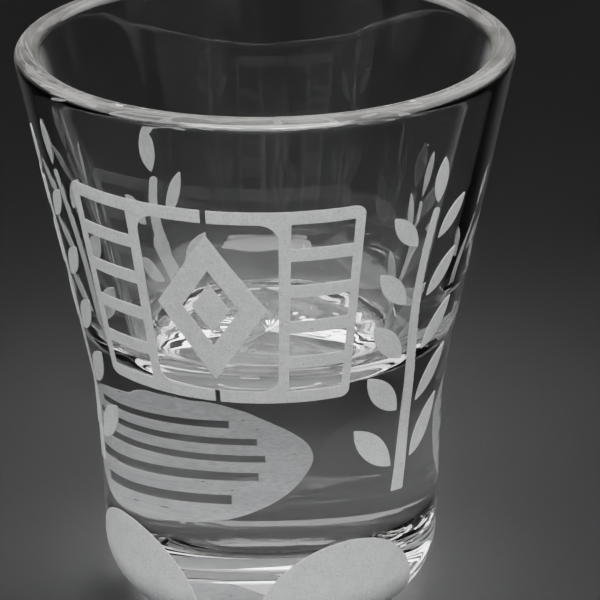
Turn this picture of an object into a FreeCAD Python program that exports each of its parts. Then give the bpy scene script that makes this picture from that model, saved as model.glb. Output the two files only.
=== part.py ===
import FreeCAD, Part
import math
import os
import Sketcher
from FreeCAD import Rotation, Vector

# A heavy-bottomed shot glass with a frosted enamel print fired onto the outside of its wall.
# Frame: millimetres, +Z up, origin at the centre of the plane that the foot stands on.
# Azimuth 0 faces -Y and grows towards +X. Depth is measured down from the plane of the rim.

doc = FreeCAD.newDocument("shot_glass")

# ---------------------------------------------------------------- driving dimensions

SIZES = [
    # alias, value, what it is
    ("height", 61.3, "foot plane to rim plane"),
    ("rim_radius", 25.3, "radius where the flared wall would meet the rim plane"),
    ("waist_height", 24.55, "height where the flared wall meets the foot wall"),
    ("waist_radius", 18.41, "radius there, before the blend"),
    ("waist_blend", 38.0, "radius of the soft concave blend at the waist"),
    ("foot_radius", 17.79, "radius where the foot wall would meet the foot plane"),
    ("foot_round", 6.9, "rounding of the foot's outer corner"),
    ("recess_radius", 7.0, "radius of the shallow recess under the foot"),
    ("recess_depth", 0.6, "depth of that recess"),
    ("recess_round", 0.5, "rounding of its edges"),
    ("lip_thickness", 2.6, "wall thickness at the rim"),
    ("lip_outer_round", 1.0, "rounding of the lip, outside"),
    ("lip_inner_round", 1.2, "rounding of the lip, inside"),
    ("cup_depth", 32.0, "rim plane to the floor of the cup"),
    ("cup_floor_radius", 15.0, "radius where the cup's wall would meet its floor"),
    ("cup_round", 7.0, "rounding of the cup's floor into its wall"),
    ("film", 0.07, "thickness of the fired enamel"),
    ("reach", 32.0, "how far an outline is extruded to cross the film"),
    ("front_azimuth", -15.0, "centre of the front panel"),
    ("side_sprig_offset", 60.0, "from the panel's centre to each side sprig"),
    ("back_sprig_offset", 121.0, "from the panel's centre to each back sprig"),
    ("petal_offset", 40.0, "from the panel's centre to each petal on the foot"),
    ("medallion_offset", -155.0, "from the panel's centre to the medallion on the foot"),
    ("rail_top", 9.4, "depth of the panel's upper edge"),
    ("rail_bottom", 31.1, "depth of the panel's lower edge"),
    ("rail_width", 1.35, "width of the panel's rails"),
    ("rail_gap", 0.75, "degrees from the panel's centre to the cut in its rails"),
    ("post_inner", 17.6, "degrees from the centre to the thin post's inner edge"),
    ("post_outer", 20.5, "degrees from the centre to the thin post's outer edge"),
    ("stile_inner", 36.0, "degrees from the centre to the thin stile's inner edge"),
    ("stile_outer", 38.5, "degrees from the centre to the thin stile's outer edge"),
    ("window_count", 5, "clear windows between the post and the stile"),
    ("window_height", 2.7, "height of one of them"),
    ("panel_round", 1.8, "rounding where the post runs into the rails"),
    ("panel_corner", 0.9, "rounding of the panel's outer corners"),
    ("lozenge_width", 11.0, "width of the lozenge frame"),
    ("lozenge_height", 16.4, "height of the lozenge frame"),
    ("lozenge_stroke", 2.2, "width of its stroke"),
    ("gem_scale", 0.34, "solid gem inside the lozenge, as a share of the frame"),
    ("side_sprig_top", 12.4, "depth of the tip of a side sprig's stem"),
    ("side_sprig_bottom", 44.4, "depth of its root"),
    ("back_sprig_top", 22.0, "depth of the tip of a back sprig's stem"),
    ("back_sprig_bottom", 38.5, "depth of its root"),
    ("stem_sway", 0.7, "how far a stem sways to each side of its middle line"),
    ("stem_root_width", 1.7, "width of a stem at its root"),
    ("stem_tip_width", 0.9, "width of a stem at its tip"),
    ("leaf_pitch", 6.2, "least distance between pairs of leaves"),
    ("leaf_start", 1.5, "from the middle of the stem to the foot of a leaf"),
    ("leaf_angle", 42.0, "degrees between a leaf and the stem"),
    ("leaf_length", 7.6, "length of a leaf at the stem's root"),
    ("leaf_width", 2.7, "width of that leaf"),
    ("leaf_taper", 0.35, "share by which a leaf is smaller at the stem's tip"),
    ("petal_width", 18.0, "width of the petal along its lower edge"),
    ("petal_top", 48.4, "depth of its rounded top"),
    ("petal_bottom", 60.0, "depth of its lower edge"),
    ("medallion_width", 9.0, "width of the medallion on the back of the foot"),
    ("medallion_height", 17.6, "height of that medallion"),
    ("medallion_depth", 48.4, "depth of its centre"),
    ("medallion_slots", 5, "clear slots in it, one above the other"),
    ("slot_width", 1.2, "height of one of those slots"),
    ("medallion_border", 1.5, "enamel left round the slots"),
]

sheet = doc.addObject("Spreadsheet::Sheet", "sizes")
for row, (alias, value, meaning) in enumerate(SIZES, start=1):
    sheet.set("A%d" % row, meaning)
    sheet.set("B%d" % row, str(value))
    sheet.setAlias("B%d" % row, alias)
doc.recompute()


def size(alias):
    """The value of one cell of the sheet, as a plain number."""
    return float(sheet.get(alias))


def rule_value(rule):
    """The present value of a rule such as sizes.height - sizes.cup_depth, or 0 for no rule."""
    if rule is None:
        return 0.0
    return float(sheet.evalExpression(rule.replace("sizes.", "")))


def fail(message):
    raise RuntimeError(message)


# Two lengths closer than this are the same, in millimetres.
TOLERANCE = 0.01


# ---------------------------------------------------------------- the glass

def plane_of(body, role):
    """One of a body's own origin planes."""
    for feature in body.Origin.OriginFeatures:
        if feature.Role == role:
            return feature
    return fail("no plane " + role)


def tie_point(sketch, geometry, end, across, up):
    """Ties one end of a line to two cells by expressions. None puts it on that axis."""
    spot = sketch.getPoint(geometry, end)
    for rule, kind, axis, value in ((across, "DistanceX", -2, spot.x), (up, "DistanceY", -1, spot.y)):
        if rule is None:
            sketch.addConstraint(Sketcher.Constraint("PointOnObject", geometry, end, axis))
        else:
            number = sketch.addConstraint(Sketcher.Constraint(kind, -1, 1, geometry, end, value))
            sketch.setExpression("Constraints[%d]" % number, rule)


# Share of each straight wall that the blend covers, for the solver to start from.
FIRST_GUESS = 0.1


def draw_profile(sketch):
    """Half of the glass in section: straight lines, with an arc where the waist blends two of them."""
    corners = [
        # across, up
        (None, "sizes.recess_depth"),
        ("sizes.recess_radius", "sizes.recess_depth"),
        ("sizes.recess_radius + 2 * sizes.recess_depth", None),
        ("sizes.foot_radius", None),
        ("sizes.rim_radius", "sizes.height"),
        ("sizes.rim_radius - sizes.lip_thickness", "sizes.height"),
        ("sizes.cup_floor_radius", "sizes.height - sizes.cup_depth"),
        (None, "sizes.height - sizes.cup_depth"),
    ]
    foot_corner = 3
    points = []
    for across, up in corners:
        points.append(Vector(rule_value(across), rule_value(up), 0))
    waist = Vector(size("waist_radius"), size("waist_height"), 0)
    below = waist + (points[foot_corner] - waist) * FIRST_GUESS
    above = waist + (points[foot_corner + 1] - waist) * FIRST_GUESS

    lines = []
    for index, point in enumerate(points):
        following = points[(index + 1) % len(points)]
        if index == foot_corner:
            lines.append(sketch.addGeometry(Part.LineSegment(point, below), False))
            sagging = (below + above) / 4 + waist / 2
            blend = sketch.addGeometry(Part.Arc(below, sagging, above), False)
            flare = sketch.addGeometry(Part.LineSegment(above, following), False)
        else:
            lines.append(sketch.addGeometry(Part.LineSegment(point, following), False))
    foot_wall = lines[foot_corner]
    blend_first = sketch.getPoint(blend, 1).distanceToPoint(below) < TOLERANCE
    blend_low, blend_high = (1, 2) if blend_first else (2, 1)
    sketch.addConstraint(Sketcher.Constraint("Tangent", foot_wall, 2, blend, blend_low))
    sketch.addConstraint(Sketcher.Constraint("Tangent", blend, blend_high, flare, 1))
    for index in range(len(lines)):
        ending = flare if index == foot_corner else lines[index]
        following = lines[(index + 1) % len(lines)]
        sketch.addConstraint(Sketcher.Constraint("Coincident", ending, 2, following, 1))
    for index, (across, up) in enumerate(corners):
        tie_point(sketch, lines[index], 1, across, up)
    corner = sketch.addGeometry(Part.Point(waist), True)
    sketch.addConstraint(Sketcher.Constraint("PointOnObject", corner, 1, foot_wall))
    sketch.addConstraint(Sketcher.Constraint("PointOnObject", corner, 1, flare))
    tie_point(sketch, corner, 1, "sizes.waist_radius", "sizes.waist_height")
    radius = sketch.addConstraint(Sketcher.Constraint("Radius", blend, size("waist_blend")))
    sketch.setExpression("Constraints[%d]" % radius, "sizes.waist_blend")


def ring_edge(shape, radius, height):
    """The name of the circular edge with this radius at this height."""
    for number, edge in enumerate(shape.Edges, start=1):
        curve = edge.Curve
        if not isinstance(curve, Part.Circle):
            continue
        if abs(curve.Radius - radius) < TOLERANCE and abs(curve.Center.z - height) < TOLERANCE:
            return "Edge%d" % number
    return fail("no ring of radius %.2f at height %.2f" % (radius, height))


def make_glass():
    """The pressed glass: one profile turned round the axis, with its corners rounded."""
    body = doc.addObject("PartDesign::Body", "glass_body")
    body.Label = "glass_body"
    sketch = body.newObject("Sketcher::SketchObject", "glass_profile")
    sketch.AttachmentSupport = (plane_of(body, "XZ_Plane"), [""])
    sketch.MapMode = "FlatFace"
    rim = size("rim_radius")
    top = size("height")
    floor = top - size("cup_depth")
    recess = size("recess_radius")
    recess_low = recess + 2 * size("recess_depth")
    lip = rim - size("lip_thickness")
    draw_profile(sketch)
    turned = body.newObject("PartDesign::Revolution", "glass_turned")
    turned.Profile = sketch
    turned.ReferenceAxis = (sketch, ["V_Axis"])
    turned.Angle = 360.0
    doc.recompute()

    roundings = [
        # cell that holds the radius, then the rings that it rounds
        ("recess_round", [(recess, size("recess_depth")), (recess_low, 0)]),
        ("foot_round", [(size("foot_radius"), 0)]),
        ("lip_outer_round", [(rim, top)]),
        ("lip_inner_round", [(lip, top)]),
        ("cup_round", [(size("cup_floor_radius"), floor)]),
    ]
    before = turned
    for cell, rings in roundings:
        fillet = body.newObject("PartDesign::Fillet", "glass_" + cell)
        names = [ring_edge(before.Shape, radius, height) for radius, height in rings]
        fillet.Base = (before, names)
        fillet.setExpression("Radius", "sizes." + cell)
        doc.recompute()
        before = fillet
    body.Tip = before
    doc.recompute()
    return body


# ---------------------------------------------------------------- the enamel film

# Share of a face's normal that points away from the axis, at least, for it to be outer wall.
LEAST_OUTWARD = 0.3


def outer_wall(shape):
    """The faces of the glass that look away from its axis."""
    faces = []
    for face in shape.Faces:
        low_u, high_u, low_v, high_v = face.ParameterRange
        spot_u = (low_u + high_u) / 2
        spot_v = (low_v + high_v) / 2
        point = face.valueAt(spot_u, spot_v)
        outward = Vector(point.x, point.y, 0)
        if outward.Length < TOLERANCE:
            continue
        if face.normalAt(spot_u, spot_v).dot(outward.normalize()) > LEAST_OUTWARD:
            faces.append(face)
    return faces


def make_skin(glass):
    """A film of enamel over the whole outer wall, from which each island is cut."""
    wall = doc.addObject("Part::Feature", "outer_wall")
    wall.Shape = Part.makeShell(outer_wall(glass.Shape))
    skin = doc.addObject("Part::Offset", "enamel_skin")
    skin.Source = wall
    skin.setExpression("Value", "sizes.film")
    skin.Fill = True
    doc.recompute()
    return skin


def wall_radius(depth):
    """Radius of the wall at a depth below the rim, along its two straight stretches."""
    level = size("height") - depth
    if level > size("waist_height"):
        share = (level - size("waist_height")) / (size("height") - size("waist_height"))
        return size("waist_radius") + share * (size("rim_radius") - size("waist_radius"))
    share = level / size("waist_height")
    return size("foot_radius") + share * (size("waist_radius") - size("foot_radius"))


def by_angle(angle, depth):
    """A point of the wall, seen square on, from its angle off the motif's middle line."""
    across = wall_radius(depth) * math.sin(math.radians(angle))
    return Vector(across, 0, size("height") - depth)


def by_arc(along, depth):
    """The same, from its distance along the wall, in millimetres, off that line."""
    return by_angle(math.degrees(along / wall_radius(depth)), depth)


def straight_wire(points):
    return Part.makePolygon(points + points[:1])


def rounded_wire(points, radii):
    """A closed outline of straight lines whose corners have the radii given."""
    count = len(points)
    starts = []
    ends = []
    middles = []
    for index, radius in enumerate(radii):
        corner = points[index]
        towards_last = (points[index - 1] - corner).normalize()
        towards_next = (points[(index + 1) % count] - corner).normalize()
        half_angle = towards_last.getAngle(towards_next) / 2
        cut = radius / math.tan(half_angle)
        bisector = (towards_last + towards_next).normalize()
        starts.append(corner + towards_last * cut)
        ends.append(corner + towards_next * cut)
        middles.append(corner + bisector * (radius / math.sin(half_angle) - radius))
    edges = []
    for index, radius in enumerate(radii):
        if radius > 0:
            edges.append(Part.Arc(starts[index], middles[index], ends[index]).toShape())
        edges.append(Part.LineSegment(ends[index], starts[(index + 1) % count]).toShape())
    return Part.Wire(edges)


def pierced_face(outline, windows):
    """A flat face with clear windows in it."""
    face = Part.Face(outline)
    if windows:
        face = face.cut([Part.Face(window) for window in windows]).Faces[0]
    return face


def make_island(skin, name, shape, azimuth_rule):
    """One node of the print: the film where the extruded outline crosses it."""
    outline = doc.addObject("Part::Feature", name + "_outline")
    outline.Shape = shape
    block = doc.addObject("Part::Extrusion", name + "_block")
    block.Base = outline
    block.DirMode = "Custom"
    block.Dir = Vector(0, -1, 0)
    block.setExpression("LengthFwd", "sizes.reach")
    block.Solid = True
    island = doc.addObject("Part::Common", name)
    island.Label = name
    island.Base = skin
    island.Tool = block
    island.Placement.Rotation = Rotation(Vector(0, 0, 1), 1)
    island.setExpression("Placement.Rotation.Angle", "(%s) * 1 deg" % azimuth_rule)
    return island


# ---------------------------------------------------------------- the front panel

def panel_half(side):
    """Half of the panel: two rails joined by a ladder of open windows. side is -1 or 1."""
    top = size("rail_top")
    bottom = size("rail_bottom")
    rail = size("rail_width")
    gap = size("rail_gap")
    post_in = size("post_inner")
    post_out = size("post_outer")
    stile_in = size("stile_inner")
    stile_out = size("stile_outer")
    fillet = size("panel_round")
    corner = size("panel_corner")

    def at(angle, depth):
        return by_angle(side * angle, depth)

    outline = rounded_wire(
        [at(gap, top), at(stile_out, top), at(stile_out, bottom), at(gap, bottom),
         at(gap, bottom - rail), at(post_in, bottom - rail), at(post_in, top + rail), at(gap, top + rail)],
        [0, corner, corner, 0, 0, fillet, fillet, 0])

    count = int(size("window_count"))
    tall = size("window_height")
    first = top + rail
    step = (bottom - rail - first - tall) / (count - 1)
    windows = []
    for index in range(count):
        upper = first + index * step
        lower = upper + tall
        windows.append(straight_wire([at(post_out, upper), at(stile_in, upper),
                                      at(stile_in, lower), at(post_out, lower)]))
    return pierced_face(outline, windows)


def lozenge_wire(width, height, middle):
    """A lozenge on the motif's middle line, round a depth."""
    corners = [by_arc(0, middle - height / 2), by_arc(width / 2, middle),
               by_arc(0, middle + height / 2), by_arc(-width / 2, middle)]
    return straight_wire(corners)


def lozenge_frame():
    """The open lozenge in the middle of the panel."""
    width = size("lozenge_width")
    height = size("lozenge_height")
    middle = (size("rail_top") + size("rail_bottom")) / 2
    # A stroke of even width: the inner lozenge is the outer one, scaled about its centre.
    clearance = width * height / 2 / math.hypot(width, height)
    scale = 1 - size("lozenge_stroke") / clearance
    inner = lozenge_wire(width * scale, height * scale, middle)
    return pierced_face(lozenge_wire(width, height, middle), [inner])


def lozenge_gem():
    """The solid gem inside it."""
    scale = size("gem_scale")
    middle = (size("rail_top") + size("rail_bottom")) / 2
    width = size("lozenge_width") * scale
    height = size("lozenge_height") * scale
    return pierced_face(lozenge_wire(width, height, middle), [])


# ---------------------------------------------------------------- the sprigs

def smooth_curve(points):
    """A smooth curve through points of the unrolled wall, as (along, depth)."""
    curve = Part.BSplineCurve()
    curve.interpolate([Vector(along, depth, 0) for along, depth in points])
    return curve


def smooth_edge(points):
    """A smooth edge through points of the outline's own plane."""
    curve = Part.BSplineCurve()
    curve.interpolate(points)
    return curve.toShape()


# Points along each side of a stem, and along its middle line.
SIDE_POINTS = 17
SPINE_POINTS = 9


def sway_at(share):
    """How far a stem is off its middle line at a share of the way from its root to its tip."""
    return size("stem_sway") * math.sin(2 * math.pi * share)


def stem(side, top, bottom):
    """A tapered stem that sways once each way, with a square root and a round tip."""
    points = []
    for index in range(SPINE_POINTS):
        share = index / (SPINE_POINTS - 1)
        points.append((side * sway_at(share), bottom + share * (top - bottom)))
    spine = smooth_curve(points)
    first = spine.FirstParameter
    span = spine.LastParameter - first
    root_width = size("stem_root_width")
    tip_width = size("stem_tip_width")

    def beside(share, offset, ahead=0.0):
        parameter = first + share * span
        centre = spine.value(parameter)
        along = spine.tangent(parameter)[0]
        return by_arc(centre.x - along.y * offset + along.x * ahead,
                      centre.y + along.x * offset + along.y * ahead)

    left = []
    right = []
    for index in range(SIDE_POINTS):
        share = index / (SIDE_POINTS - 1)
        half = (root_width + share * (tip_width - root_width)) / 2
        left.append(beside(share, half))
        right.append(beside(share, -half))
    outline = Part.Wire([
        Part.LineSegment(right[0], left[0]).toShape(),
        smooth_edge(left),
        Part.Arc(left[-1], beside(1.0, 0.0, tip_width / 2), right[-1]).toShape(),
        smooth_edge(right[::-1]),
    ])
    return pierced_face(outline, [])


def leaf(side, foot, tip, width):
    """A pointed leaf between two arcs."""
    start = Vector(side * foot[0], foot[1], 0)
    end = Vector(side * tip[0], tip[1], 0)
    across = (end - start).cross(Vector(0, 0, 1)).normalize() * (width / 2)
    middle = (start + end) / 2
    bulges = [middle + across, middle - across]
    arcs = []
    for bulge in bulges:
        ends_and_bulge = [by_arc(point.x, point.y) for point in (start, bulge, end)]
        arcs.append(Part.Arc(*ends_and_bulge).toShape())
    return pierced_face(Part.Wire(arcs), [])


def sprig_leaves(side, top, bottom):
    """Pairs of leaves up a stem, smaller towards its tip, and one more leaf past the tip."""
    angle = math.radians(size("leaf_angle"))
    pairs = int((bottom - top) / size("leaf_pitch"))
    shapes = []
    for index in range(pairs):
        share = (index + 0.5) / pairs
        scale = 1 - size("leaf_taper") * share
        length = size("leaf_length") * scale
        depth = bottom + share * (top - bottom)
        for hand in (-1, 1):
            foot = (sway_at(share) + hand * size("leaf_start"), depth)
            tip = (foot[0] + hand * length * math.sin(angle), depth - length * math.cos(angle))
            shapes.append(leaf(side, foot, tip, size("leaf_width") * scale))
    scale = 1 - size("leaf_taper")
    start = top - size("leaf_start") * scale
    end = start - size("leaf_length") * scale
    shapes.append(leaf(side, (0, start), (0, end), size("leaf_width") * scale))
    return Part.makeCompound(shapes)


def petal():
    """A broad plain petal that rises from the rounded foot."""
    half_width = size("petal_width") / 2
    bottom = size("petal_bottom")
    left = by_arc(-half_width, bottom)
    right = by_arc(half_width, bottom)
    dome = Part.Arc(left, by_arc(0, size("petal_top")), right)
    return pierced_face(Part.Wire([dome.toShape(), Part.LineSegment(right, left).toShape()]), [])


def medallion():
    """An upright oval on the back of the foot, with clear slots one above the other."""
    depth = size("medallion_depth")
    half_height = size("medallion_height") / 2
    half_width = size("medallion_width") / 2
    border = size("medallion_border")
    count = int(size("medallion_slots"))
    pitch = 2 * (half_height - border) / count
    centre = by_arc(0, depth)
    oval = Part.Ellipse(centre + Vector(0, 0, half_height), centre + Vector(half_width, 0, 0), centre)
    slots = []
    for index in range(count):
        middle = (index - (count - 1) / 2) * pitch
        upper = depth + middle - size("slot_width") / 2
        lower = upper + size("slot_width")
        reach = half_width * math.sqrt(1 - (middle / half_height) ** 2) - border
        slots.append(straight_wire([by_arc(-reach, upper), by_arc(reach, upper),
                                    by_arc(reach, lower), by_arc(-reach, lower)]))
    return pierced_face(Part.Wire(oval.toShape()), slots)


# ---------------------------------------------------------------- assembly

glass_body = make_glass()
enamel_skin = make_skin(glass_body)
front = "sizes.front_azimuth"
sub_parts = [glass_body]
sub_parts.append(make_island(enamel_skin, "panel_left", panel_half(-1), front))
sub_parts.append(make_island(enamel_skin, "panel_right", panel_half(1), front))
sub_parts.append(make_island(enamel_skin, "panel_lozenge", lozenge_frame(), front))
sub_parts.append(make_island(enamel_skin, "panel_gem", lozenge_gem(), front))

for name, side, place in [("right", 1, "side"), ("left", -1, "side"),
                          ("back_right", 1, "back"), ("back_left", -1, "back")]:
    azimuth = "%s + %d * sizes.%s_sprig_offset" % (front, side, place)
    top = size(place + "_sprig_top")
    bottom = size(place + "_sprig_bottom")
    sub_parts.append(make_island(enamel_skin, name + "_sprig_stem", stem(side, top, bottom), azimuth))
    leaves = sprig_leaves(side, top, bottom)
    sub_parts.append(make_island(enamel_skin, name + "_sprig_leaves", leaves, azimuth))

for name, side in [("right", 1), ("left", -1)]:
    azimuth = "%s + %d * sizes.petal_offset" % (front, side)
    sub_parts.append(make_island(enamel_skin, name + "_foot_petal", petal(), azimuth))
sub_parts.append(make_island(enamel_skin, "back_medallion", medallion(), front + " + sizes.medallion_offset"))
doc.recompute()

# ---------------------------------------------------------------- checks and files

for item in doc.Objects:
    if "Invalid" in item.State or "Error" in item.State:
        fail("failed: " + item.Label)
for part in sub_parts:
    if part.Shape.isNull() or not part.Shape.isValid():
        fail("bad shape: " + part.Label)
    if not part.Shape.Solids:
        fail("no solid: " + part.Label)

os.makedirs("parts", exist_ok=True)
for part in sub_parts:
    part.Shape.exportStep("parts/%s.step" % part.Label)
    print(part.Label, len(part.Shape.Solids), round(part.Shape.Volume, 2))
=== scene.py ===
import math
import bmesh
import bpy
import numpy as np
from mathutils import Euler, Matrix, Vector


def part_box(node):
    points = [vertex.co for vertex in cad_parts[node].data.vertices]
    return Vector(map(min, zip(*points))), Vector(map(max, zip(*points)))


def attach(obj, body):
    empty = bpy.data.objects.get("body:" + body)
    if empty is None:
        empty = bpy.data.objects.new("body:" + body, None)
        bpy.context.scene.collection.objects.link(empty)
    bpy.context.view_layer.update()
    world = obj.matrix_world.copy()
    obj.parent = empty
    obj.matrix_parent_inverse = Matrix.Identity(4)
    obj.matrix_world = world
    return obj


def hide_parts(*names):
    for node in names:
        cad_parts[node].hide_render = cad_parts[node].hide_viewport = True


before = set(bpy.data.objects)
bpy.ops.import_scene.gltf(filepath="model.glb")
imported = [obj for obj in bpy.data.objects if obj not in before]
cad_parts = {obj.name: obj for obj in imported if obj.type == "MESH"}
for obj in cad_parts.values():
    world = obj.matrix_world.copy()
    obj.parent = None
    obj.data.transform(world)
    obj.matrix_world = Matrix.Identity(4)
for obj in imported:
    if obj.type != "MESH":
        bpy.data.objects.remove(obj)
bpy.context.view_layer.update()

# Everything is in metres, in the frame of the CAD: +Z up, origin in the plane of the foot.
MM = 0.001
# Points closer than this are one point.
WELD = 0.01 * MM

# ---------------------------------------------------------------- the glass in section

RIM_RADIUS = 25.3 * MM
WAIST_RADIUS = 18.41 * MM
WAIST_HEIGHT = 24.55 * MM
FOOT_RADIUS = 17.79 * MM
RECESS_RADIUS = 7.0 * MM
RECESS_DEPTH = 0.6 * MM
LIP_THICKNESS = 2.6 * MM
CUP_DEPTH = 32.0 * MM
CUP_FLOOR_RADIUS = 15.0 * MM
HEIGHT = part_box("glass_body")[1][2]
CUP_FLOOR = HEIGHT - CUP_DEPTH

# How finely the glass is divided: steps round it, the longest step along its section, and the fewest
# steps in an arc.
TURN_STEPS = 288
SECTION_STEP = 0.7 * MM
LEAST_ARC_STEPS = 10
# A point closer to the axis than this is on it.
ON_AXIS = 1e-9

# Streaks that run down the cup's wall, as (how many round it, strength, first angle, and how far they
# turn for each metre of depth). Angles are in radians.
STREAKS = [(7, 1.0, 1.3, 0), (13, 0.6, 0.0, 90), (29, 0.4, 2.1, 0)]
STREAK_DEPTH = 0.02 * MM
# Rings in the cup's floor, bent from true circles and deeper on some sides.
RIPPLE_DEPTH = 0.05 * MM
RIPPLE_LENGTH = 0.55 * MM
RIPPLE_BEND = 0.8
RIPPLE_BEND_START = 0.6
RIPPLE_SWELL = 0.5
RIPPLE_REACH = 3.5 * MM
# Both fade out within this distance of the lip, and of the axis.
FADE = 4 * MM


def section_corners():
    """Corners of the half section as (radius, height, rounding), from the recess to the cup's floor."""
    return [
        (0.0, RECESS_DEPTH, 0.0),
        (RECESS_RADIUS, RECESS_DEPTH, 0.5 * MM),
        (RECESS_RADIUS + 2 * RECESS_DEPTH, 0.0, 0.5 * MM),
        (FOOT_RADIUS, 0.0, 6.9 * MM),
        (WAIST_RADIUS, WAIST_HEIGHT, 38.0 * MM),
        (RIM_RADIUS, HEIGHT, 1.0 * MM),
        (RIM_RADIUS - LIP_THICKNESS, HEIGHT, 1.2 * MM),
        (CUP_FLOOR_RADIUS, CUP_FLOOR, 7.0 * MM),
        (0.0, CUP_FLOOR, 0.0),
    ]


def rounded(corners, step):
    """The section as points no further apart than step, with an arc at each rounded corner."""
    points = [Vector(corners[0][:2])]
    for last, corner, following in zip(corners, corners[1:], corners[2:]):
        here = Vector(corner[:2])
        to_last = (Vector(last[:2]) - here).normalized()
        to_next = (Vector(following[:2]) - here).normalized()
        half_angle = to_last.angle(to_next) / 2
        radius = corner[2]
        start = here + to_last * (radius / math.tan(half_angle))
        end = here + to_next * (radius / math.tan(half_angle))
        centre = here + (to_last + to_next).normalized() * (radius / math.sin(half_angle))
        first = math.atan2(*(start - centre).yx)
        sweep = math.atan2(*(end - centre).yx) - first
        sweep = (sweep + math.pi) % (2 * math.pi) - math.pi
        arc_steps = max(LEAST_ARC_STEPS, math.ceil(abs(sweep) * radius / step))
        for index in range(arc_steps + 1):
            angle = first + sweep * index / arc_steps
            points.append(centre + radius * Vector((math.cos(angle), math.sin(angle))))
    points.append(Vector(corners[-1][:2]))
    spaced = [points[0]]
    for start, end in zip(points, points[1:]):
        steps = max(1, math.ceil((end - start).length / step))
        for index in range(1, steps + 1):
            spaced.append(start.lerp(end, index / steps))
    return spaced


def waviness(radius, height, angle):
    """How far the pressed inner surface strays from a true one, in metres, smoothly round the cup."""
    if radius > RIM_RADIUS - LIP_THICKNESS or height < CUP_FLOOR - WELD:
        return 0.0
    depth = HEIGHT - height
    streaks = 0.0
    for count, strength, start, turning in STREAKS:
        streaks += strength * math.sin(count * angle + start + turning * depth)
    bend = RIPPLE_BEND * math.sin(2 * angle + RIPPLE_BEND_START)
    swell = 1 + RIPPLE_SWELL * math.sin(3 * angle)
    ripples = math.sin(radius / RIPPLE_LENGTH + bend) * swell
    near_floor = max(0.0, 1 - (height - CUP_FLOOR) / RIPPLE_REACH)
    away_from_lip = min(1.0, depth / FADE)
    off_axis = min(1.0, radius / FADE)
    return away_from_lip * off_axis * (STREAK_DEPTH * streaks + RIPPLE_DEPTH * ripples * near_floor)


def new_object(name, mesh):
    """A mesh as an object of the scene."""
    thing = bpy.data.objects.new(name, mesh)
    bpy.context.scene.collection.objects.link(thing)
    return thing


def turn(name, section):
    """A closed surface of revolution from a section that starts and ends on the axis."""
    vertices = []
    rings = []
    for point in section:
        count = 1 if point.x < ON_AXIS else TURN_STEPS
        rings.append(list(range(len(vertices), len(vertices) + count)))
        for index in range(count):
            angle = 2 * math.pi * index / TURN_STEPS
            stray = 0.0 if count == 1 else waviness(point.x, point.y, angle)
            radius = point.x + stray
            vertices.append((radius * math.cos(angle), radius * math.sin(angle), point.y + stray))
    faces = []
    for low, high in zip(rings, rings[1:]):
        for index in range(TURN_STEPS):
            following = (index + 1) % TURN_STEPS
            if len(low) == 1:
                faces.append((low[0], high[following], high[index]))
            elif len(high) == 1:
                faces.append((low[index], low[following], high[0]))
            else:
                faces.append((low[index], low[following], high[following], high[index]))
    mesh = bpy.data.meshes.new(name)
    mesh.from_pydata(vertices, [], faces)
    mesh.polygons.foreach_set("use_smooth", [True] * len(mesh.polygons))
    mesh.update()
    return new_object(name, mesh)


# ---------------------------------------------------------------- the enamel films

# Height of a film above the wall, and how far it is sunk into the glass, so that no gap shows under it.
FILM = 0.07 * MM
EMBED = 0.03 * MM
# A film's edges are halved until none is longer than this, in no more than so many passes.
LONGEST_EDGE = 0.9 * MM
MOST_PASSES = 6
# Distance between the points of the wall that a film is laid on, and how many points are looked up at once.
WALL_STEP = 0.05 * MM
LOOKED_UP = 4000


def wall_table():
    """Fine points of the outer wall with their outward normals, as (radius, height) pairs."""
    section = rounded(section_corners(), WALL_STEP)
    widest = max(range(len(section)), key=lambda index: section[index].x)
    wall = np.array([tuple(point) for point in section[:widest]])
    wall = wall[wall[:, 0] > RECESS_RADIUS + 4 * RECESS_DEPTH]
    along = np.gradient(wall, axis=0)
    normals = np.stack([along[:, 1], -along[:, 0]], axis=1)
    normals /= np.linalg.norm(normals, axis=1)[:, None]
    return wall, normals


def nearest_on_wall(points, wall):
    """For each (radius, height), the index of the nearest point of the wall."""
    nearest = np.empty(len(points), dtype=int)
    for start in range(0, len(points), LOOKED_UP):
        chunk = points[start:start + LOOKED_UP]
        gaps = ((chunk[:, None, :] - wall[None, :, :]) ** 2).sum(axis=2)
        nearest[start:start + LOOKED_UP] = gaps.argmin(axis=1)
    return nearest


def fatten(grid, share):
    """Turns the edges inside a film's two faces, so that as few as can be of its triangles are slivers."""
    inner_edges = []
    for edge in grid.edges:
        shares = {round(vertex[share]) for face in edge.link_faces for vertex in face.verts}
        if len(edge.link_faces) == 2 and len(shares) == 1:
            inner_edges.append(edge)
    faces = list({face for edge in inner_edges for face in edge.link_faces})
    bmesh.ops.beautify_fill(grid, faces=faces, edges=inner_edges, method="ANGLE")


def radii_and_heights(grid):
    return np.array([(math.hypot(v.co.x, v.co.y), v.co.z) for v in grid.verts])


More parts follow.
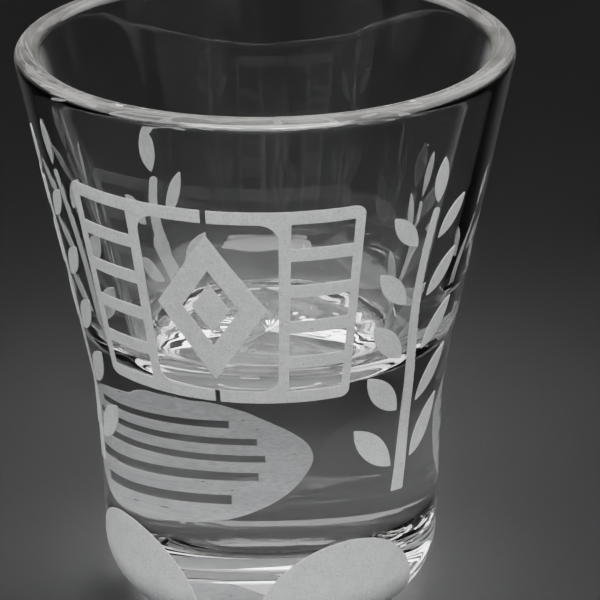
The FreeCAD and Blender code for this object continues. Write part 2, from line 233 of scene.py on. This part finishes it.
def fitted_film(name, node, wall, normals):
    """A film with the outline of its CAD node, finely divided and laid on the wall, sunk in by EMBED."""
    grid = bmesh.new()
    grid.from_mesh(node.data)
    bmesh.ops.remove_doubles(grid, verts=grid.verts, dist=WELD)
    bmesh.ops.dissolve_degenerate(grid, edges=grid.edges, dist=WELD)
    bmesh.ops.triangulate(grid, faces=grid.faces)
    share = grid.verts.layers.float.new("share")
    grid.verts.ensure_lookup_table()
    flat = radii_and_heights(grid)
    nearest = nearest_on_wall(flat, wall)
    lift = ((flat - wall[nearest]) * normals[nearest]).sum(axis=1)
    for vertex, height in zip(grid.verts, lift):
        vertex[share] = min(1.0, max(0.0, height / FILM))
    fatten(grid, share)
    for _ in range(MOST_PASSES):
        long_edges = [edge for edge in grid.edges if edge.calc_length() > LONGEST_EDGE]
        if not long_edges:
            break
        bmesh.ops.subdivide_edges(grid, edges=long_edges, cuts=1)
        bmesh.ops.triangulate(grid, faces=[face for face in grid.faces if len(face.verts) > 3])
        fatten(grid, share)
    flat = radii_and_heights(grid)
    nearest = nearest_on_wall(flat, wall)
    shares = np.array([v[share] for v in grid.verts])
    offsets = -EMBED + shares * (FILM + EMBED)
    # The wall's nearest point, moved along the wall to the vertex's own place, then off it along the normal.
    ahead = flat - wall[nearest]
    ahead -= (ahead * normals[nearest]).sum(axis=1)[:, None] * normals[nearest]
    placed = wall[nearest] + ahead + offsets[:, None] * normals[nearest]
    for vertex, (radius, height) in zip(grid.verts, placed):
        scale = radius / math.hypot(vertex.co.x, vertex.co.y)
        vertex.co = Vector((vertex.co.x * scale, vertex.co.y * scale, height))
    bmesh.ops.dissolve_degenerate(grid, edges=grid.edges, dist=WELD)
    bmesh.ops.triangulate(grid, faces=grid.faces)
    mesh = bpy.data.meshes.new(name)
    grid.to_mesh(mesh)
    grid.free()
    mesh.polygons.foreach_set("use_smooth", [False] * len(mesh.polygons))
    return new_object(name, mesh)


# ---------------------------------------------------------------- materials

class Surface:
    """A Principled material and short ways to add nodes that feed it."""

    def __init__(self, name, **sockets):
        self.material = bpy.data.materials.new(name)
        self.material.use_nodes = True
        self.tree = self.material.node_tree
        self.shader = self.tree.nodes["Principled BSDF"]
        for socket, value in sockets.items():
            self.shader.inputs[socket.replace("_", " ")].default_value = value
        self.place = self.tree.nodes.new("ShaderNodeTexCoord").outputs["Object"]

    def feed(self, value, socket):
        """Puts a number, a colour or another node's output into a socket."""
        if isinstance(value, bpy.types.NodeSocket):
            self.tree.links.new(value, socket)
        else:
            socket.default_value = value

    def noise(self, size, detail, stretch=(1, 1, 1)):
        """Soft noise whose features are about this size, in metres."""
        mapping = self.tree.nodes.new("ShaderNodeMapping")
        mapping.inputs["Scale"].default_value = stretch
        self.feed(self.place, mapping.inputs["Vector"])
        node = self.tree.nodes.new("ShaderNodeTexNoise")
        node.inputs["Scale"].default_value = 1 / size
        node.inputs["Detail"].default_value = detail
        self.feed(mapping.outputs["Vector"], node.inputs["Vector"])
        return node.outputs["Fac"]

    def cells(self, size):
        """Cells about this size: the distance to each one's centre, in cells, and its own random number."""
        node = self.tree.nodes.new("ShaderNodeTexVoronoi")
        node.inputs["Scale"].default_value = 1 / size
        self.feed(self.place, node.inputs["Vector"])
        apart = self.tree.nodes.new("ShaderNodeSeparateColor")
        self.feed(node.outputs["Color"], apart.inputs["Color"])
        return node.outputs["Distance"], apart.outputs["Red"]

    def height(self):
        """Height above the plane of the foot."""
        apart = self.tree.nodes.new("ShaderNodeSeparateXYZ")
        self.feed(self.place, apart.inputs["Vector"])
        return apart.outputs["Z"]

    def grazing(self):
        """0 where the surface faces the eye, 1 where it is seen edge on."""
        return self.tree.nodes.new("ShaderNodeLayerWeight").outputs["Facing"]

    def combine(self, operation, first, second):
        """One value from two, by an operation of the Math node, such as ADD or MULTIPLY."""
        node = self.tree.nodes.new("ShaderNodeMath")
        node.operation = operation
        self.feed(first, node.inputs[0])
        self.feed(second, node.inputs[1])
        return node.outputs[0]

    def ranged(self, value, low, high, to_low, to_high):
        """A value taken smoothly from one range to another."""
        node = self.tree.nodes.new("ShaderNodeMapRange")
        node.interpolation_type = "SMOOTHSTEP"
        for socket, number in zip(node.inputs[1:5], (low, high, to_low, to_high)):
            socket.default_value = number
        self.feed(value, node.inputs["Value"])
        return node.outputs["Result"]

    def blend(self, share, first, second):
        """A colour between two others."""
        node = self.tree.nodes.new("ShaderNodeMix")
        node.data_type = "RGBA"
        self.feed(share, node.inputs["Factor"])
        self.feed(first, node.inputs["A"])
        self.feed(second, node.inputs["B"])
        return node.outputs["Result"]

    def bump(self, height, strength, distance):
        """Shallow relief that follows a value."""
        node = self.tree.nodes.new("ShaderNodeBump")
        node.inputs["Strength"].default_value = strength
        node.inputs["Distance"].default_value = distance
        self.feed(height, node.inputs["Height"])
        self.feed(node.outputs["Normal"], self.shader.inputs["Normal"])

    def set(self, **sockets):
        """Feeds the shader's sockets, named with _ for a space."""
        for socket, value in sockets.items():
            self.feed(value, self.shader.inputs[socket.replace("_", " ")])


# Colours, as linear red, green, blue and alpha.
CLEAR = (0.985, 0.99, 0.988, 1)
# The ivory is the colour of the painted glow at the lip.
LIP_GLOW_IVORY = (0.93, 0.91, 0.86, 1)
FRIT_DARK = (0.66, 0.67, 0.68, 1)
FRIT_LIGHT = (0.86, 0.87, 0.88, 1)
PINHOLE = (0.16, 0.16, 0.17, 1)
BOARD_DARK = (0.40, 0.40, 0.405, 1)
BOARD_LIGHT = (0.45, 0.45, 0.455, 1)

# How much each kind of haze, and the painted glow at the lip and along the edges, takes off the glass's
# transmission, at most. The lip's varies by patches.
SMUDGE_HAZE = 0.012
LIP_GLOW = 0.16
EDGE_GLOW = 0.20
DUST_HAZE = 0.6
# Share of the cells that have no speck of dust, or no pinhole.
CLEAN_GLASS = 0.82
SOUND_ENAMEL = 0.86


def glass_material():
    """Clear glass with faint smudges and a few specks of dust.

    A pale ivory glow painted at the lip, and along where the wall is seen edge on, stands for light trapped
    inside the wall.
    """
    glass = Surface("clear_glass", IOR=1.51)
    smudge = glass.noise(7 * MM, 5.0, (1, 1, 0.25))
    veil = glass.ranged(smudge, 0.5, 0.75, 0.0, SMUDGE_HAZE)
    # Painted glow: the top of the lip turns partly diffuse and ivory, so that it looks lit by light trapped
    # in the wall.
    lip_glow = glass.ranged(glass.height(), HEIGHT - 0.8 * MM, HEIGHT - 0.2 * MM, 0.0, LIP_GLOW)
    patches = glass.ranged(glass.noise(5 * MM, 3.0), 0.35, 0.65, 0.55, 1.10)
    lip_glow = glass.combine("MULTIPLY", lip_glow, patches)
    distance, luck = glass.cells(2.2 * MM)
    dot = glass.ranged(distance, 0.02, 0.05, DUST_HAZE, 0.0)
    dust = glass.combine("MULTIPLY", dot, glass.combine("GREATER_THAN", luck, CLEAN_GLASS))
    # Painted glow: the glass turns partly diffuse where it is seen edge on, giving a pale band along the
    # silhouettes for light trapped in the wall.
    edge = glass.ranged(glass.grazing(), 0.70, 0.97, 0.0, EDGE_GLOW)
    # Real haze from smudges and dust, added to the painted glow at the lip and the edges.
    haze_and_glow = glass.combine("ADD", veil, glass.combine("ADD", lip_glow, dust))
    haze_and_glow = glass.combine("ADD", haze_and_glow, edge)
    glass.set(Transmission_Weight=glass.combine("SUBTRACT", 1.0, haze_and_glow),
              Base_Color=glass.blend(glass.ranged(lip_glow, 0.0, 0.05, 0.0, 1.0), CLEAR, LIP_GLOW_IVORY),
              Roughness=glass.ranged(smudge, 0.5, 0.8, 0.0, 0.03))
    glass.bump(glass.noise(4 * MM, 2.0), 0.15, 0.02 * MM)
    return glass.material


def frost_material():
    """Frosted enamel: matt, mottled by its frit at two scales, with pinholes, and a little translucent."""
    frost = Surface("frost_enamel", IOR=1.35, Transmission_Weight=0.18)
    grain = frost.noise(0.22 * MM, 4.0)
    blotch = frost.noise(1.6 * MM, 3.0)
    fine = frost.combine("MULTIPLY", grain, 0.7)
    broad = frost.combine("MULTIPLY", blotch, 0.3)
    mottle = frost.ranged(frost.combine("ADD", fine, broad), 0.36, 0.64, 0.0, 1.0)
    enamel = frost.blend(mottle, FRIT_DARK, FRIT_LIGHT)
    distance, luck = frost.cells(0.42 * MM)
    dot = frost.ranged(distance, 0.10, 0.20, 1.0, 0.0)
    pinhole = frost.combine("MULTIPLY", dot, frost.combine("GREATER_THAN", luck, SOUND_ENAMEL))
    frost.set(Base_Color=frost.blend(pinhole, enamel, PINHOLE),
              Roughness=frost.ranged(grain, 0.3, 0.7, 0.6, 0.85))
    frost.bump(grain, 0.5, 0.03 * MM)
    return frost.material


def floor_material():
    """Pale matt studio board with a faint tooth."""
    board = Surface("floor_board")
    fibre = board.noise(0.8 * MM, 4.0)
    cloud = board.noise(60 * MM, 3.0)
    board.set(Base_Color=board.blend(cloud, BOARD_DARK, BOARD_LIGHT),
              Roughness=board.ranged(fibre, 0.3, 0.7, 0.65, 0.85))
    board.bump(fibre, 0.3, 0.05 * MM)
    return board.material


# ---------------------------------------------------------------- making the object

pieces = bpy.data.collections.new("pieces")
stage = bpy.data.collections.new("stage")
glass = turn("pressed_glass", rounded(section_corners(), SECTION_STEP))
glass.data.materials.append(glass_material())
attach(glass, "root")
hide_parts("glass_body")
pieces.objects.link(glass)

frost = frost_material()
wall, normals = wall_table()
for node_name, node in sorted(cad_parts.items()):
    if node_name == "glass_body":
        continue
    film = fitted_film(node_name + "_film", node, wall, normals)
    film.data.materials.append(frost)
    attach(film, "root")
    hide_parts(node_name)
    pieces.objects.link(film)

# ---------------------------------------------------------------- stage

HALF_FLOOR = 1.5
# The floor is a hair below the foot, so that the two don't share a plane.
FLOOR_DROP = 0.05 * MM

MIDDLE_OF_GLASS = (0.0, 0.0, HEIGHT / 2)
# The softboxes that light the glass, as (name, place, width, height, radiance).
GLASS_SOFTBOXES = [
    ("back_softbox", (0.0, 0.50, 0.42), 1.00, 0.30, 0.9),
    ("top_softbox", (0.0, 0.0, 0.50), 0.80, 0.80, 1.4),
    ("left_softbox", (-0.45, 0.05, 0.36), 0.80, 0.36, 2.0),
    ("right_softbox", (0.45, 0.05, 0.36), 0.80, 0.36, 2.0),
    ("key_softbox", (0.0, -0.35, 0.42), 0.60, 0.30, 7.5),
]
DIM_ROOM = (0.003, 0.003, 0.0032, 1)

# The camera's place, its angles in degrees (down, to the side, and rolled) and its lens.
EYE = (0.0, -0.2333, HEIGHT + 0.0745)
LOOK_DOWN = 23.86
LOOK_ASIDE = -0.812
ROLL = -0.42
SENSOR_MM = 36.0
LENS_MM = 145.85
NEAREST_SEEN = 0.005


def make_floor():
    """A board for the glass to stand on."""
    mesh = bpy.data.meshes.new("floor")
    corners = [(x * HALF_FLOOR, y * HALF_FLOOR, 0) for x, y in ((-1, -1), (1, -1), (1, 1), (-1, 1))]
    mesh.from_pydata(corners, [], [(0, 1, 2, 3)])
    floor = new_object("floor", mesh)
    floor.location.z = -FLOOR_DROP
    mesh.materials.append(floor_material())
    stage.objects.link(floor)


def soft_light(name, place, aim, width, height, radiance, lit):
    """A softbox of even radiance, turned towards a point, that lights one collection only."""
    light = bpy.data.lights.new(name, "AREA")
    light.shape = "RECTANGLE"
    light.size = width
    light.size_y = height
    light.energy = radiance * math.pi * width * height
    lamp = bpy.data.objects.new(name, light)
    bpy.context.scene.collection.objects.link(lamp)
    lamp.location = place
    lamp.rotation_euler = (Vector(aim) - Vector(place)).to_track_quat("-Z", "Y").to_euler()
    lamp.light_linking.receiver_collection = lit


def make_lights():
    """Large softboxes round the glass, flagged off the floor, which has a dim one of its own."""
    for name, place, width, height, radiance in GLASS_SOFTBOXES:
        soft_light(name, place, MIDDLE_OF_GLASS, width, height, radiance, pieces)
    soft_light("floor_softbox", (0.0, 0.1, 1.2), (0.0, 0.1, 0.0), 1.20, 1.20, 0.17, stage)
    world = bpy.data.worlds.new("studio")
    world.use_nodes = True
    background = world.node_tree.nodes["Background"]
    background.inputs["Color"].default_value = DIM_ROOM
    bpy.context.scene.world = world


def make_camera():
    """A long lens about a quarter of a metre in front of the glass and a little above its rim."""
    turned = Euler((math.radians(90 - LOOK_DOWN), 0.0, math.radians(LOOK_ASIDE)), "XYZ").to_matrix()
    tilt = Matrix.Rotation(math.radians(ROLL), 3, "Z")
    camera = bpy.data.cameras.new("camera")
    camera.sensor_width = SENSOR_MM
    camera.lens = LENS_MM
    camera.clip_start = NEAREST_SEEN
    stand = bpy.data.objects.new("camera", camera)
    stand.matrix_world = Matrix.Translation(Vector(EYE)) @ (turned @ tilt).to_4x4()
    bpy.context.scene.collection.objects.link(stand)
    bpy.context.scene.camera = stand


make_floor()
make_lights()
make_camera()
